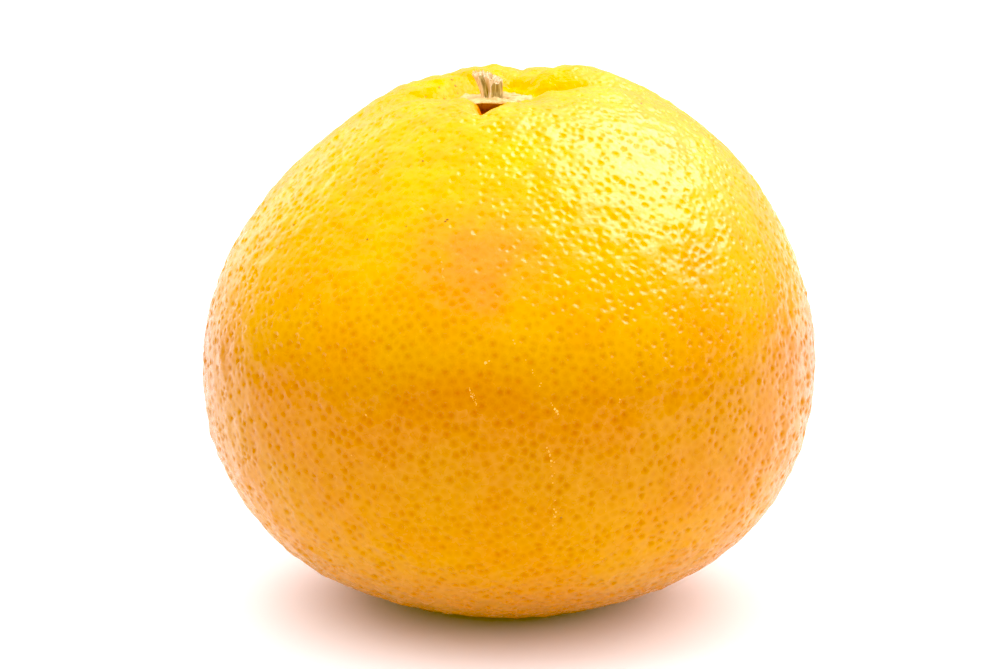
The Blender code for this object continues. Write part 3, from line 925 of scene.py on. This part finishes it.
def build_floor():
    finish = Nodes("floor")
    finish.shader.inputs["Base Color"].default_value = (0.97, 0.94, 0.96, 1.0)
    finish.shader.inputs["Roughness"].default_value = 0.6
    finish.shader.inputs["Specular IOR Level"].default_value = 0.0
    half = 4.0
    corners = [(-half, -half, 0.0), (half, -half, 0.0), (half, half, 0.0), (-half, half, 0.0)]
    floor = mesh_object("floor", corners, [(0, 1, 2, 3)], finish.material)


def build_camera():
    camera = bpy.data.objects.new("camera", bpy.data.cameras.new("camera"))
    bpy.context.scene.collection.objects.link(camera)
    tilt = math.radians(CAMERA_ELEVATION)
    back = Vector((0.0, -math.cos(tilt), math.sin(tilt)))
    up = Vector((0.0, math.sin(tilt), math.cos(tilt)))
    camera.location = Vector((0.0, 0.0, EQUATOR_Z)) + back * CAMERA_DISTANCE
    aim = Vector((CAMERA_AIM_RIGHT, 0.0, EQUATOR_Z)) + up * CAMERA_AIM_UP
    camera.rotation_euler = (aim - camera.location).to_track_quat("-Z", "Y").to_euler()
    camera.data.sensor_width = SENSOR_WIDTH
    camera.data.lens = LENS
    bpy.context.scene.camera = camera


def softbox(name, direction, distance, size, power, effect):
    """A rectangular light this far from the fruit's middle, facing it, that gives fill light or gloss."""
    light = bpy.data.objects.new(name, bpy.data.lights.new(name, "AREA"))
    bpy.context.scene.collection.objects.link(light)
    light.data.shape = "RECTANGLE"
    light.data.size, light.data.size_y = size
    light.data.energy = power
    toward = Vector(direction).normalized()
    light.location = Vector((0.0, 0.0, EQUATOR_Z)) + toward * distance
    light.rotation_euler = toward.to_track_quat("Z", "Y").to_euler()
    light.visible_diffuse = effect == "fill"
    light.visible_glossy = effect == "gloss"


def build_world():
    """A white room, brighter overhead than at the level of the floor."""
    world = bpy.data.worlds.new("studio")
    bpy.context.scene.world = world
    world.use_nodes = True
    tree = world.node_tree
    place = tree.nodes.new("ShaderNodeTexCoord")
    split = tree.nodes.new("ShaderNodeSeparateXYZ")
    tree.links.new(place.outputs["Generated"], split.inputs[0])
    bright = tree.nodes.new("ShaderNodeMapRange")
    bright.interpolation_type = "SMOOTHSTEP"
    tree.links.new(split.outputs["Z"], bright.inputs[0])
    for socket, value in zip(bright.inputs[1:5], (-0.1, 0.9, 0.66, 1.3)):
        socket.default_value = value
    tree.links.new(bright.outputs["Result"], tree.nodes["Background"].inputs["Strength"])
    tree.nodes["Background"].inputs["Color"].default_value = (1.0, 1.0, 1.0, 1.0)


bpy.context.scene.view_settings.view_transform = "Standard"
bpy.context.scene.view_settings.use_curve_mapping = True
bpy.context.scene.view_settings.curve_mapping.black_level = (0.0, 0.0, 0.055)
build_camera()
build_world()
build_floor()
softbox("key", (0.634, 0.310, 0.712), 0.9, (0.66, 0.54), 2.2, "fill")
softbox("gleam", (0.52, 0.20, 0.83), 0.9, (0.85, 0.72), 15.0, "gloss")
softbox("left_rim", (-0.58, 0.80, 0.27), 1.2, (0.5, 0.6), 1.3, "gloss")
softbox("right_rim", (0.58, 0.80, 0.18), 1.2, (0.4, 0.6), 0.4, "gloss")
softbox("left", (-0.45, -0.05, 0.9), 1.4, (1.5, 1.5), 9.8, "fill")
softbox("back", (0.0, 0.8, 0.6), 1.2, (1.2, 0.8), 6.5, "fill")
softbox("front", (0.0, -0.85, 0.5), 1.5, (1.6, 1.6), 3.2, "fill")
softbox("right", (0.94, -0.1, 0.42), 1.4, (1.2, 1.2), 6.8, "fill")
rind = build_rind()
build_button()
build_stalk()
build_blemishes(rind)
